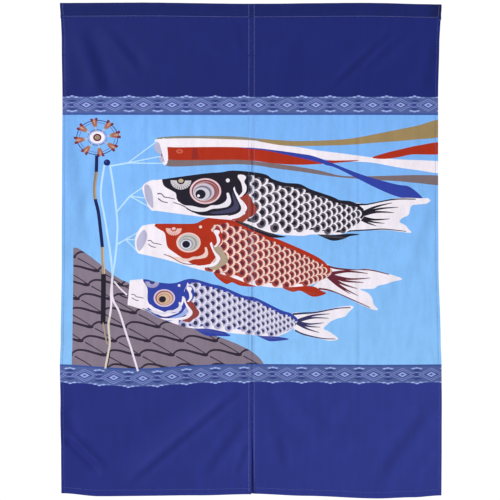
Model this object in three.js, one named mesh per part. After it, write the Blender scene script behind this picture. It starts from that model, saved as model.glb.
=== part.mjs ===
// A noren: a door curtain of two printed cloth panels, side by side, hung on a rod.
// Each panel has a rod sleeve along its top edge. The panels are sewn to each other at the top
// and hang apart below. Cloth bends anywhere, so each panel is cut into segments that meet at
// fold lines, with the hems and the stitching of each segment on it.
//
// Millimetres, +Z up, +X to the viewer's right, the printed face looks along -Y.
// The origin is the middle of the rod's axis, inside the two sleeves.
import * as THREE from 'three';

// Cut and hang of the whole curtain
const WIDTH = 850;
const HEIGHT = 1100;
const CLOTH = 0.6;
const PANEL_SLIT = 1.6;
const GAP = 0.3;

// Rod sleeves: a teardrop loop of cloth round a 12 mm rod
const ROD_SPACE_RADIUS = 6.2;
const SLEEVE_DEPTH = 30;
const SLEEVE_ALLOWANCE = 3;

// Fold lines, measured down from the top edge. The panels are sewn together as far as the first.
const JOINED_DEPTH = 205;
const UPPER_FOLD_DEPTH = 505;
const LOWER_FOLD_DEPTH = 805;
const FOLD_GAP = 1.6;

// Hems are folded twice, so they are the thickest part of the cloth
const SIDE_HEM = 8;
const BOTTOM_HEM = 15;
const HEM_THICKNESS = 1.2;

// Sewing thread, shown as one raised line for each seam
const THREAD_WIDTH = 0.8;
const THREAD_HEIGHT = 0.4;
const SIDE_SEAM_INSET = 6;
const BOTTOM_SEAM_INSET = 13;
const BAR_TACK_HEIGHT = 10;
const JOIN_THREAD_WIDTH = 1;

const CURVE_STEPS = 8;

const TOP = ROD_SPACE_RADIUS + CLOTH;
const BOTTOM = TOP - HEIGHT;
const STITCH_LINE = TOP - SLEEVE_DEPTH;
const SLEEVE_END = STITCH_LINE - SLEEVE_ALLOWANCE;
const FRONT = -CLOTH / 2;
const OUTER_EDGE = WIDTH / 2;
const CENTRE_EDGE = PANEL_SLIT / 2;
const CLOTH_INSET = SIDE_HEM + GAP;

function cloth(colour) {
  return new THREE.MeshStandardMaterial({ color: colour, roughness: 0.85, metalness: 0 });
}

const navyPrint = cloth(0x273078);
const skyPrint = cloth(0x82b9fb);
const lowerNavyPrint = cloth(0x30398a);
const sewingThread = cloth(0x5b62a8);

// The segments of a panel, from the fold or seam above to the fold or edge below
const segments = [
  { name: 'header', top: SLEEVE_END, bottom: TOP - JOINED_DEPTH, material: navyPrint },
  { name: 'upper_flap', top: TOP - JOINED_DEPTH, bottom: TOP - UPPER_FOLD_DEPTH, material: skyPrint },
  { name: 'middle_flap', top: TOP - UPPER_FOLD_DEPTH, bottom: TOP - LOWER_FOLD_DEPTH, material: skyPrint },
  { name: 'lower_flap', top: TOP - LOWER_FOLD_DEPTH, bottom: BOTTOM, material: lowerNavyPrint },
];

function named(name, geometry, material) {
  const mesh = new THREE.Mesh(geometry, material);
  mesh.name = name;
  return mesh;
}

// A box from its lowest corner to its highest one
function block(low, high) {
  const size = high.map((value, i) => value - low[i]);
  const geometry = new THREE.BoxGeometry(...size);
  geometry.translate(...low.map((value, i) => value + size[i] / 2));
  return geometry;
}

// A folded edge: flat on the inside, rounded on the outside. It is drawn in X and Y with its
// rounded side towards +X, from x = -width to 0, and runs along +Z from 0 to length.
function foldedEdge(width, length) {
  const radius = HEM_THICKNESS / 2;
  const outline = new THREE.Shape();
  outline.moveTo(-width, FRONT);
  outline.lineTo(-radius, FRONT);
  outline.absarc(-radius, FRONT + radius, radius, -Math.PI / 2, Math.PI / 2, false);
  outline.lineTo(-width, FRONT + HEM_THICKNESS);
  return new THREE.ExtrudeGeometry(outline, {
    depth: length, bevelEnabled: false, curveSegments: CURVE_STEPS,
  });
}

// The sleeve's loop of cloth, drawn in Y and Z, and run along X from x0 to x1.
// Its round top lies on the rod space, and straight walls close on the stitch line below.
function sleeveLoop(x0, x1) {
  const wallAngle = (radius) => Math.asin(radius / -STITCH_LINE);
  const outerAngle = wallAngle(TOP - CLOTH / 2);
  const innerAngle = wallAngle(ROD_SPACE_RADIUS);
  const outline = new THREE.Shape();
  outline.moveTo(CLOTH, SLEEVE_END + GAP);
  outline.lineTo(CLOTH, STITCH_LINE);
  outline.absarc(0, 0, TOP, -outerAngle, Math.PI + outerAngle, false);
  outline.lineTo(-CLOTH, STITCH_LINE);
  outline.lineTo(-CLOTH, SLEEVE_END + GAP);
  const rodSpace = new THREE.Path();
  rodSpace.moveTo(0, STITCH_LINE + CLOTH);
  rodSpace.lineTo(-ROD_SPACE_RADIUS * Math.cos(innerAngle), -ROD_SPACE_RADIUS * Math.sin(innerAngle));
  rodSpace.absarc(0, 0, ROD_SPACE_RADIUS, Math.PI + innerAngle, -innerAngle, true);
  outline.holes.push(rodSpace);
  const geometry = new THREE.ExtrudeGeometry(outline, {
    depth: x1 - x0, bevelEnabled: false, curveSegments: CURVE_STEPS * 2,
  });
  // The drawing's own x, y and z become the curtain's y, z and x
  geometry.applyMatrix4(new THREE.Matrix4().set(0, 0, 1, x0, 1, 0, 0, 0, 0, 1, 0, 0, 0, 0, 0, 1));
  return geometry;
}

// side is -1 for the left panel and 1 for the right one
function sleeve(panel, side) {
  const [x0, x1] = side < 0 ? [-OUTER_EDGE, -CENTRE_EDGE] : [CENTRE_EDGE, OUTER_EDGE];
  const threadBack = -CLOTH - GAP;
  const stitching = block(
    [x0 + SIDE_HEM / 2, threadBack - THREAD_HEIGHT, STITCH_LINE - THREAD_WIDTH],
    [x1 - SIDE_HEM / 2, threadBack, STITCH_LINE],
  );
  panel.add(named(`${panel.name}_rod_sleeve`, sleeveLoop(x0, x1), navyPrint));
  panel.add(named(`${panel.name}_sleeve_stitching`, stitching, sewingThread));
}

// The folded edge and the seam thread down one side of a segment. towards is the direction of
// that edge along X, and edge is its distance from the middle of the curtain.
function sideHem(panel, segment, label, edge, towards, top, bottom) {
  const hem = foldedEdge(SIDE_HEM, top - bottom);
  if (towards < 0) {
    hem.rotateZ(Math.PI);
    hem.translate(0, 2 * FRONT + HEM_THICKNESS, 0);
  }
  hem.translate(edge, 0, bottom);
  const seamX = edge - towards * SIDE_SEAM_INSET;
  const threadBack = FRONT - GAP;
  const thread = block(
    [seamX - THREAD_WIDTH / 2, threadBack - THREAD_HEIGHT, bottom],
    [seamX + THREAD_WIDTH / 2, threadBack, top],
  );
  panel.add(named(`${panel.name}_${segment.name}_${label}_hem`, hem, segment.material));
  panel.add(named(`${panel.name}_${segment.name}_${label}_stitching`, thread, sewingThread));
}

function bottomHem(panel, x0, x1) {
  const hem = foldedEdge(BOTTOM_HEM, x1 - x0);
  // The drawing's rounded side turns down, and its length runs along X
  hem.applyMatrix4(new THREE.Matrix4().set(0, 0, 1, x0, 0, 1, 0, 0, -1, 0, 0, BOTTOM, 0, 0, 0, 1));
  const threadBack = FRONT - GAP;
  const seamZ = BOTTOM + BOTTOM_SEAM_INSET;
  const thread = block(
    [x0, threadBack - THREAD_HEIGHT, seamZ - THREAD_WIDTH / 2],
    [x1, threadBack, seamZ + THREAD_WIDTH / 2],
  );
  panel.add(named(`${panel.name}_bottom_hem`, hem, lowerNavyPrint));
  panel.add(named(`${panel.name}_bottom_stitching`, thread, sewingThread));
}

// One segment: the flat cloth between its hems, and those hems
function segmentPieces(panel, side, segment) {
  const isLowest = segment.bottom === BOTTOM;
  const top = segment.top - FOLD_GAP / 2;
  const bottom = isLowest ? BOTTOM + BOTTOM_HEM + GAP : segment.bottom + FOLD_GAP / 2;
  const [x0, x1] = side < 0
    ? [-OUTER_EDGE + CLOTH_INSET, -CENTRE_EDGE - CLOTH_INSET]
    : [CENTRE_EDGE + CLOTH_INSET, OUTER_EDGE - CLOTH_INSET];
  const sheet = block([x0, FRONT, bottom], [x1, -FRONT, top]);
  panel.add(named(`${panel.name}_${segment.name}_cloth`, sheet, segment.material));
  sideHem(panel, segment, 'outer', side * OUTER_EDGE, side, top, bottom);
  sideHem(panel, segment, 'centre', side * CENTRE_EDGE, -side, top, bottom);
  if (isLowest) {
    bottomHem(panel, x0 - CLOTH_INSET, x1 + CLOTH_INSET);
  }
}

function curtainPanel(name, side) {
  const panel = new THREE.Group();
  panel.name = name;
  sleeve(panel, side);
  segments.forEach((segment) => segmentPieces(panel, side, segment));
  return panel;
}

// The thread that joins the two panels edge to edge, and the bar tack that ends the join
function centreJoin() {
  const join = new THREE.Group();
  const joinTop = SLEEVE_END - FOLD_GAP / 2;
  const joinBottom = TOP - JOINED_DEPTH + FOLD_GAP / 2;
  const tackTop = joinBottom + BAR_TACK_HEIGHT;
  const half = JOIN_THREAD_WIDTH / 2;
  const seam = block([-half, FRONT, tackTop + GAP], [half, FRONT + HEM_THICKNESS, joinTop]);
  const tack = block([-half, FRONT, joinBottom], [half, FRONT + HEM_THICKNESS, tackTop]);
  join.add(named('centre_join_seam', seam, sewingThread));
  join.add(named('centre_bar_tack', tack, sewingThread));
  return join;
}

const noren = new THREE.Group();
noren.name = 'noren';
noren.add(curtainPanel('left', -1), curtainPanel('right', 1), centreJoin());

export default noren;
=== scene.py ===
# Looks for the noren: a door curtain of two printed cloth panels, hung by a rod sleeve.
# Lengths are in millimetres until a mesh is written. A point of the cloth is (u, v): u runs to the
# viewer's right from the middle of the curtain, and v runs down from the top edge.
import math

import bpy
import numpy as np
from mathutils.geometry import delaunay_2d_cdt
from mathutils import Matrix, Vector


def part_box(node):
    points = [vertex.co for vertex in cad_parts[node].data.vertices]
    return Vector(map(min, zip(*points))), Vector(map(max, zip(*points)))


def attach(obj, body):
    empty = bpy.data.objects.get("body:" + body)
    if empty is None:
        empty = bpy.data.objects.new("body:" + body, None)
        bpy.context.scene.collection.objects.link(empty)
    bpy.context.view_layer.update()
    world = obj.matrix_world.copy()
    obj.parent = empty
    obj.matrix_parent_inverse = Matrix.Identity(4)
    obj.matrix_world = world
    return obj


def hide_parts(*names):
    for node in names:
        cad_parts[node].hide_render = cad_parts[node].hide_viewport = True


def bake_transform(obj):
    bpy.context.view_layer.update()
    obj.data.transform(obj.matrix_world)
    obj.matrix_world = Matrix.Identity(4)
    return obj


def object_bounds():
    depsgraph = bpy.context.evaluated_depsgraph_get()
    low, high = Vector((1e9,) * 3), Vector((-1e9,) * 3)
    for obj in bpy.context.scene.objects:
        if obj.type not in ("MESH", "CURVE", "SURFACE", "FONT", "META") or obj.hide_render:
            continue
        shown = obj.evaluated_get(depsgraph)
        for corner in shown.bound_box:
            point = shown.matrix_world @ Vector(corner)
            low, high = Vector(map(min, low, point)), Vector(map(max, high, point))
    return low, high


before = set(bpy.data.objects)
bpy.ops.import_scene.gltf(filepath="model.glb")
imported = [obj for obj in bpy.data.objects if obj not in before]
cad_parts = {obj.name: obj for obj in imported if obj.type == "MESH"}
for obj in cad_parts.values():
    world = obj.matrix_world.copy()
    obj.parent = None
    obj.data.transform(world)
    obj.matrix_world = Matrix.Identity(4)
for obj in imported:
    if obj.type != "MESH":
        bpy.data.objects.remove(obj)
cad_low, cad_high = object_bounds()
rng = np.random.default_rng(7)

# ---------------------------------------------------------------- sizes, from the CAD frame
SIDES = {"left": -1, "right": 1}
ZONES = ("header", "upper_flap", "middle_flap", "lower_flap")


def box_mm(node):
    low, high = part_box(node)
    return np.array(low) * 1000, np.array(high) * 1000


TOP = box_mm("left_rod_sleeve")[1][2]
HALF_WIDTH = box_mm("right_rod_sleeve")[1][0]
HEIGHT = TOP - box_mm("left_bottom_hem")[0][2]
STITCH = TOP - box_mm("left_sleeve_stitching")[1][2]
HALF_FOLD_GAP = 0.8
SLEEVE_END, JOINED, UPPER_FOLD, LOWER_FOLD = (
    TOP - box_mm(f"left_{zone}_cloth")[1][2] - HALF_FOLD_GAP for zone in ZONES)
SIDE_HEM = 8.0
BOTTOM_HEM = 15.0
SIDE_SEAM = 6.0
BOTTOM_SEAM = 13.0
CLOTH = 0.5
SLEEVE_RADIUS = 6.45

# Where each cloth piece starts and ends, and where it would turn from one body to the next, which is looked
# up but not applied
CUTS = {
    "rod_sleeve": (-43.0, 31.0),
    "header": (31.0, 119.0),
    "upper_flap": (119.0, 355.0),
    "middle_flap": (355.0, 655.0),
    "lower_flap": (655.0, HEIGHT),
}
TURNS = {
    "header": ("rod_sleeves", "header", SLEEVE_END - 2, SLEEVE_END + 24),
    "upper_flap": ("header", "{side}_upper_flap", JOINED - 15, JOINED + 80),
    "middle_flap": ("{side}_upper_flap", "{side}_middle_flap", UPPER_FOLD - 55, UPPER_FOLD + 55),
    "lower_flap": ("{side}_middle_flap", "{side}_lower_flap", LOWER_FOLD - 55, LOWER_FOLD + 55),
}


# ---------------------------------------------------------------- colours
def srgb(red, green, blue):
    """A display colour as linear light."""
    c = np.array([red, green, blue]) / 255
    return np.where(c <= 0.04045, c / 12.92, ((c + 0.055) / 1.055) ** 2.4)


# The sleeve's navy is the top band's navy made darker: painted shade on the sleeve
SHADED_SLEEVE_NAVY = srgb(21, 33, 101)
TOP_NAVY = srgb(24, 36, 111)
# The lower navy is lighter than the top navy partly in its print and partly by painted light; its
# right-hand colour is lighter by a painted lighting gradient
LOW_NAVY_LEFT = srgb(33, 43, 124)
LOW_NAVY_RIGHT = srgb(46, 57, 142)
# SKY_LOW is paler than SKY_TOP by a painted lighting gradient
SKY_TOP = srgb(124, 182, 250)
SKY_LOW = srgb(141, 200, 255)
BORDER = srgb(80, 98, 156)
BORDER_DARK = srgb(52, 62, 132)
BORDER_PALE = srgb(122, 136, 200)
BORDER_LIGHT = srgb(160, 180, 238)
BORDER_LINE = srgb(62, 86, 160)
WHITE = srgb(246, 238, 248)
SHADE = srgb(186, 184, 212)
BLACK = srgb(30, 26, 42)
SLATE = srgb(66, 66, 98)
RED = srgb(176, 46, 20)
DARK_RED = srgb(146, 40, 34)
PINK = srgb(240, 196, 190)
MAROON = srgb(112, 40, 56)
BLUE = srgb(48, 66, 166)
PALE_BLUE = srgb(156, 176, 232)
LAVENDER = srgb(196, 190, 224)
OLIVE = srgb(160, 136, 92)
GREY_BROWN = srgb(126, 110, 114)
TAN = srgb(196, 176, 150)
ROPE = srgb(190, 226, 254)
PALE_ROPE = srgb(232, 222, 236)
ROOF = srgb(134, 120, 136)
ROOF_LINE = srgb(46, 34, 54)


# ---------------------------------------------------------------- drawing the print
artwork = []


def smooth(points, closed=True, step=5.0):
    """A Catmull-Rom curve through given points."""
    p = np.array(points, float)
    n = len(p)
    spans = n if closed else n - 1
    out = []
    for i in range(spans):
        if closed:
            a, b, c, d = p[i - 1], p[i], p[(i + 1) % n], p[(i + 2) % n]
        else:
            a, b, c, d = p[max(i - 1, 0)], p[i], p[i + 1], p[min(i + 2, n - 1)]
        count = max(1, int(round(np.linalg.norm(c - b) / step)))
        for t in np.arange(count) / count:
            out.append(0.5 * (2 * b + (c - a) * t + (2 * a - 5 * b + 4 * c - d) * t * t
                              + (3 * b - a - 3 * c + d) * t ** 3))
    if not closed:
        out.append(p[-1])
    return np.array(out)


def fill(colour, points, within=None):
    """One flat area of the print. within is an outline that cuts it off."""
    artwork.append((colour, np.asarray(points, float), within))


def area(colour, points, within=None, step=5.0):
    fill(colour, smooth(points, step=step), within)


def disc(colour, centre, rx, ry=None, turn=0.0, within=None, count=None):
    ry = rx if ry is None else ry
    count = count or int(np.clip(2 * rx, 8, 36))
    a = np.arange(count) * 2 * math.pi / count + 0.2
    x, y = rx * np.cos(a), ry * np.sin(a)
    c, s = math.cos(turn), math.sin(turn)
    fill(colour, np.stack([centre[0] + x * c - y * s, centre[1] + x * s + y * c], 1), within)


def stroke(colour, points, width, end=None, within=None, step=5.0):
    """A line of the print along a smooth path, from its width to its width at the end."""
    line = smooth(points, closed=False, step=step)
    ahead = np.gradient(line, axis=0)
    ahead /= np.maximum(np.linalg.norm(ahead, axis=1), 1e-9)[:, None]
    side = np.stack([-ahead[:, 1], ahead[:, 0]], 1)
    half = np.linspace(width, width if end is None else end, len(line))[:, None] / 2
    fill(colour, np.concatenate([line + side * half, (line - side * half)[::-1]]), within)


def lozenge(colour, u, v, wide, high):
    fill(colour, [(u - wide, v), (u, v - high), (u + wide, v), (u, v + high)])


UPPER_BORDER = 211.0
LOW_BORDER = 811.0
BORDER_DEPTH = 36.0
BORDER_REPEAT = 64.4
# Lozenges round each centre: colour, half width and half height
NESTED = ((BORDER_PALE, 30, 15), (BORDER, 26.5, 12.8), (BORDER_PALE, 22, 10.6), (BORDER_DARK, 18, 8.6),
          (BORDER_PALE, 12.5, 6.4), (BORDER_LIGHT, 9, 5.2), (BORDER, 5, 2.8))
# Lozenges midway between two centres: colour, offset downwards, half width and half height
BETWEEN = ((BORDER_DARK, 0, 11, 3.6), (BORDER_DARK, -9, 12, 3), (BORDER_DARK, 9, 12, 3),
           (BORDER_PALE, -4.6, 9, 1.4), (BORDER_PALE, 4.6, 9, 1.4))
# Light tips along both edges of the border: offset sideways, offset downwards and half width
TIPS = ((0, -19.6, 6.0), (-9, -17.4, 7.0), (9, -17.4, 7.0), (-20, -16.4, 7.0),
        (20, -16.4, 7.0), (0, 14.6, 6.5), (-8, 13.2, 5.5), (8, 13.2, 5.5))
TIP_HEIGHT = 1.9


def border_sag(u):
    """The lower border hangs a little lower on the left."""
    return 9.0 * np.exp(-(((np.asarray(u) + 254.0) / 105.0) ** 2))


def strip(colour, v0, v1, sag):
    """A plain strip right across the curtain."""
    u = np.linspace(-430, 430, 87)
    fill(colour, np.concatenate([np.stack([u, v0 + sag * border_sag(u)], 1),
                                 np.stack([u, v1 + sag * border_sag(u)], 1)[::-1]]))


def border(v0, flip, sag):
    """A border of nested lozenges. flip turns it over, for the one at the bottom."""
    strip(BORDER, v0, v0 + BORDER_DEPTH, sag)
    middle = v0 + BORDER_DEPTH / 2

    def down(offset):
        return middle - offset if flip else middle + offset

    for k in range(-7, 8):
        centre = 15.5 + BORDER_REPEAT * k
        half = centre + BORDER_REPEAT / 2
        for colour, wide, high in NESTED:
            lozenge(colour, centre, middle + sag * border_sag(centre), wide, high)
        for colour, offset, wide, high in BETWEEN:
            lozenge(colour, half, down(offset) + sag * border_sag(half), wide, high)
        for shift, offset, wide in TIPS:
            colour = BORDER_LIGHT if abs(shift) < 12 else BORDER_PALE
            lozenge(colour, half + shift, down(offset) + sag * border_sag(half + shift), wide, TIP_HEIGHT)
    line = (v0 - 4.0, v0) if flip else (v0 + BORDER_DEPTH, v0 + BORDER_DEPTH + 4.5)
    strip(BORDER_LINE, *line, sag)


def roof():
    """A tiled roof. Each course of tiles ends in a wavy dark line, with joints between its tiles."""
    foot = LOW_BORDER + 12
    outline = smooth([(-399, 549), (-390, 549), (-368, 563), (-349, 577), (-317, 603), (-293, 619),
                      (-271, 630), (-227, 666), (-180, 699), (-138, 726), (-94, 741), (-49, 757),
                      (-6, 777), (20, 798), (34, foot)], closed=False)
    outline = np.concatenate([outline, [(-399, foot)]])
    fill(ROOF, outline)
    period, course = 75.0, 31.3
    for row in range(10):
        level = 560 + course * row
        start = -472 - 22.0 * (row % 8) + period * (row // 4)
        for k in range(9):
            u = start + period * k
            wave = [(u, level + 9), (u + 5, level + 3), (u + 15, level - 2), (u + 32, level - 1),
                    (u + 54, level + 5), (u + period, level + 10)]
            joint = [(u + 8, level + 12), (u + 30, level + 24), (u + 53, level + course + 7)]
            stroke(ROOF_LINE * 1.4, joint, 2.8, 1.8, within=outline)
            stroke(ROOF_LINE, wave, 4.0, 5.4, within=outline)
            disc(ROOF_LINE, (u - 5, level + 8.5), 10.0, 3.4, 0.12, within=outline)


def arrow_wheel():
    """The wheel of arrow feathers on the head of the pole."""
    centre = np.array([-346.0, 302.0])
    wide, high = 48.0, 39.5
    turn = np.linspace(0, 2 * math.pi, 41)
    for radius, line in ((0.97, 1.7), (0.84, 0.9), (0.44, 1.3)):
        ring = centre + np.stack([wide * radius * np.cos(turn), high * radius * np.sin(turn)], 1)
        stroke(BLUE * 0.45, ring, line)
    for k in range(8):
        a = math.radians(-99 + 45 * k)
        out = np.array([wide * math.cos(a), high * math.sin(a)])
        side = np.array([-math.sin(a), math.cos(a)])

        def feather(colour, inner, half_in, outer, half_out, shift=0.0):
            near, far = centre + out * inner, centre + out * outer
            fill(colour, [near + side * (shift + half_in), far + side * (shift + half_out),
                          far + side * (shift - half_out), near + side * (shift - half_in)])

        feather(SHADE, 0.3, 1.3, 0.75, 1.3)
        feather(OLIVE, 0.6, 3.6, 0.8, 5.0)
        feather(srgb(172, 104, 92), 0.68, 4.6, 1.04, 8.0)
        feather(MAROON, 0.92, 1.6, 1.1, 3.2, 5.6)
        feather(MAROON, 0.92, 1.6, 1.1, 3.2, -5.6)
        feather(TAN, 0.78, 0.6, 0.98, 1.6)
    disc(PALE_BLUE, centre, 21, 16.5)
    disc(WHITE, centre, 17, 13.4)
    disc(MAROON * 0.7, centre, 9.4, 8.4)
    disc(TAN, centre, 5.6, 4.8)
    disc(MAROON, centre, 3.6, 3.2)
    disc(TAN, centre, 2)


def pole_and_ropes():
    path = smooth([(-347, 342), (-348, 379), (-351, 402), (-352, 424), (-350, 440), (-343, 469),
                   (-338, 509), (-334, 547), (-333, 576), (-331, 607), (-331, 722)], closed=False)
    # Its lengths: from, to, colour, width, and whether a light line runs down them
    lengths = ((342, 381, BLUE * 0.3, 7.5, False), (381, 440, TAN * 0.55, 7.5, True),
               (440, 549, BLUE * 0.22, 7.5, False), (549, 606, TAN * 0.7, 7.5, True),
               (606, 718, BLACK, 11.0, False))
    for v0, v1, colour, width, has_light in lengths:
        part = path[(path[:, 1] >= v0 - 6) & (path[:, 1] <= v1 + 2)]
        stroke(colour, part, width)
        if has_light:
            stroke(colour * 1.7, part + (2.2, 0), 1.6)
    left = [(-330, 364), (-336, 404), (-337, 437), (-330, 475), (-321, 527), (-315, 569), (-311, 614),
            (-314, 649), (-313, 675), (-316, 701), (-319, 722), (-316, 761), (-319, 783), (-325, 818)]
    right = [(-317, 366), (-310, 408), (-303, 462), (-300, 500), (-302, 542), (-306, 581), (-312, 621),
             (-310, 662), (-295, 692), (-280, 739), (-267, 778), (-253, 824)]
    stroke(ROPE, left, 4.4)
    stroke(ROPE, right, 4.4)
    # The ropes are paler in front of the roof
    stroke(PALE_ROPE, left[6:], 4.6)
    stroke(PALE_ROPE, right[6:], 4.6)
    stroke(srgb(214, 204, 190), left[9:], 4.4)
    stroke(TAN * 0.7, [(-331, 716), (-327, 740), (-322, 764)], 3.0)
    stroke(BLACK, [(-315, 778), (-318, 798), (-322, 818)], 2.4)
    disc(BLUE * 0.3, (-324, 358), 7.5, 7)
    disc(BLUE, (-326, 356), 2.5)


def bridle(knot, rim, tie):
    """The cords from a mouth's rim to their knot, and from there to the rope."""
    for end in rim:
        stroke(ROPE, [knot, end], 3.0, 2.4)
    stroke(ROPE, [knot, tie], 3.6)


def ribbons():
    """The streamer above the fish: a tube that parts into ribbons."""
    edge = HALF_WIDTH + 8
    olive = [(-212, 303), (-160, 299), (-48, 299), (23, 305), (64, 308), (108, 310), (176, 308),
             (225, 304), (276, 295), (332, 284), (377, 275), (edge, 262)]
    olive_low = [(edge, 298), (377, 306), (332, 310), (276, 314), (225, 318), (176, 320), (108, 321),
                 (64, 319), (23, 313), (-48, 306), (-160, 306), (-212, 308)]
    area(OLIVE, olive + olive_low)
    stroke(srgb(132, 136, 128), [(-210, 306), (-160, 302), (-48, 302), (23, 308)], 7.5, 3)
    grey = [(-191, 350), (-115, 351), (-26, 351), (15, 356), (53, 360), (108, 368), (153, 376),
            (198, 387), (243, 389), (332, 387), (377, 386), (edge, 389)]
    grey_low = [(edge, 408), (377, 404), (332, 400), (276, 397), (236, 394), (198, 391), (153, 385),
                (108, 378), (53, 371), (15, 365), (-26, 362), (-70, 363), (-115, 365), (-160, 367),
                (-191, 365)]
    area(GREY_BROWN, grey + grey_low)
    white = [(-217, 309), (-194, 305), (-115, 304), (-3, 308), (23, 312), (64, 319), (108, 324),
             (149, 331), (198, 337), (236, 342), (276, 347), (332, 351), (edge, 357)]
    white_low = [(edge, 381), (377, 375), (332, 369), (276, 359), (236, 356), (198, 355), (149, 349),
                 (108, 341), (53, 333), (-3, 327), (-48, 325), (-115, 326), (-193, 330)]
    area(WHITE, white + white_low)
    red = [(-192, 326), (-160, 324), (-26, 324), (53, 334), (149, 352), (241, 353)]
    red_low = [(187, 359), (108, 363), (53, 360), (-26, 352), (-188, 351)]
    area(RED, red + red_low)
    fill(DARK_RED, [(-131, 325), (-122, 325), (-118, 351), (-134, 351)])
    disc(srgb(206, 92, 74), (-161, 333), 8, 5)
    disc(RED, (-161, 333), 3, 2)
    area(RED, [(272, 347), (301, 337), (343, 327), (376, 320), (edge, 313), (edge, 338), (365, 340),
               (333, 346), (300, 350)])
    blue = [(-24, 325), (15, 326), (108, 338), (149, 347), (245, 384), (323, 406), (359, 413),
            (389, 441)]
    blue_low = [(344, 438), (290, 419), (194, 372), (168, 364), (149, 357), (53, 335), (15, 329)]
    area(BLUE, blue + blue_low)
    area(WHITE, [(-211, 309), (-203, 306), (-192, 305), (-188, 330), (-187, 352), (-191, 363), (-199, 361),
                 (-199, 344), (-203, 326)])
    area(SHADE, [(-217, 316), (-208, 313), (-202, 330), (-201, 339), (-210, 337), (-217, 327)])
    area(SHADE, [(-208, 344), (-197, 347), (-195, 357), (-202, 358)])


# Head details of a carp, from the centre of its eye, at the size of the largest one
SWOOSH = [(-61, 23), (-48, 31), (-30, 33), (-12, 37), (1, 37), (13, 32), (28, 31), (42, 25), (48, 16),
          (47, 5), (52, 4), (56, 15), (57, 25), (51, 34), (35, 38), (15, 40), (1, 45), (-17, 46),
          (-37, 41), (-52, 34)]
PLATE = [(60, 2), (68, 19), (75, 33), (70, 44), (51, 49), (24, 51), (10, 48), (37, 43), (55, 38),
         (64, 29), (61, 15)]
HOOK = [(72, -32), (75, -37), (86, -36), (91, -31), (87, -21), (92, -10), (90, 2), (80, 13), (74, 12),
        (82, 2), (82, -9), (79, -20)]
CRESCENT = [(62, -6), (68, -10), (70, -1), (76, 14), (86, 26), (92, 37), (87, 50), (75, 59), (55, 63),
            (24, 64), (-12, 62), (-30, 56), (24, 58), (55, 55), (74, 48), (80, 38), (76, 27), (69, 13)]
GILL = [(71, -4), (80, -1), (91, 3), (100, 13), (106, 25), (114, 35), (114, 46), (106, 55), (95, 61),
        (85, 69), (73, 70), (58, 64), (75, 59), (89, 50), (93, 37), (87, 26), (77, 14)]
NOSTRILS = ([(-108, 6), (-99, 6), (-92, 13), (-80, 15), (-68, 18)], [(-106, 16), (-97, 23), (-84, 26)])
JAW = [(-72, 25), (-50, 33), (-30, 45), (-8, 53), (20, 54)]


def carp_tail(fish):
    tail = smooth(fish["tail"])
    fill(WHITE, tail)
    root = np.array(fish["tail_root"], float)
    for tip, width in fish["rays"]:
        tip = np.array(tip, float)
        bend = (root + tip) / 2 + (0, 0.06 * (tip[0] - root[0]) * np.sign(tip[1] - root[1]))
        stroke(fish["dark"], [root + (tip - root) * 0.05, bend, tip], width, 0.8, within=tail)
    stroke(fish["dark"], fish["tail_top"], 4.5, 2.0, within=tail)
    stroke(fish["dark"], fish["tail_low"], 4.0, 1.6, within=tail)


def carp_fins(fish):
    for fin in (fish["anal"], fish["pectoral"]):
        outline = smooth(fin)
        fill(fish["coat"], outline)
        first, last = outline.min(0), outline.max(0)
        for k in range(2):
            start = (first[0] + 8, first[1] + 4 + k * 4)
            end = (last[0] - 14 - 12 * k, last[1] - 5.0)
            stroke(fish["coat"] * 0.55 + fish["light"] * 0.12, [start, end], 1.4, 0.5, within=outline)


def carp_scales(fish, back, belly, body):
    """The coloured flank, its scales, and the stripe along the back with its wavy lower edge."""
    white = np.interp(belly[:, 0], *fish["white_belly"])
    flank = belly - np.stack([np.zeros(len(belly)), white], 1)
    first, last = fish["eye"][0] + 64 * fish["size"], back[-1][0] - 3
    hide = np.concatenate([back, flank[::-1]])
    fill(fish["coat"], hide[hide[:, 0] > first - 12], within=body)

    # From the tail forwards, so that each scale covers the edge of the one behind it
    big, small = fish["pitch"]
    columns, u, odd = [], first, False
    while u < last:
        pitch = big + (small - big) * (u - first) / (last - first)
        columns.append((u, pitch, odd))
        u += pitch * 0.5
        odd = not odd
    for u, pitch, odd in reversed(columns):
        v0, v1 = np.interp(u, back[:, 0], back[:, 1]), np.interp(u, flank[:, 0], flank[:, 1])
        lean = (np.interp(u + 20, back[:, 0], back[:, 1]) - v0) / 20
        v = v0 + fish["stripe"] + pitch * (0.62 if odd else 0.22)
        while v < v1 + pitch * 0.1:
            disc(fish["light"], (u, v), pitch * 0.43, pitch * 0.45, lean, within=body, count=14)
            inner, core = (u - pitch * 0.1, v), (u - pitch * 0.04, v)
            disc(fish["scale"], inner, pitch * 0.35, pitch * 0.38, lean, within=body, count=12)
            disc(fish["dark"], core, pitch * 0.19, pitch * 0.2, within=body, count=8)
            v += pitch * 0.8

    steps = np.linspace(first, last, 60)
    top = np.interp(steps, back[:, 0], back[:, 1])
    wave = fish["stripe"] * (0.8 + 0.45 * np.abs(np.sin((steps - first) / big * 2.6)))
    lower = np.stack([steps, top + wave], 1)
    fill(fish["coat"], np.concatenate([np.stack([steps, top - 3], 1), lower[::-1]]), within=body)


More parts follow.
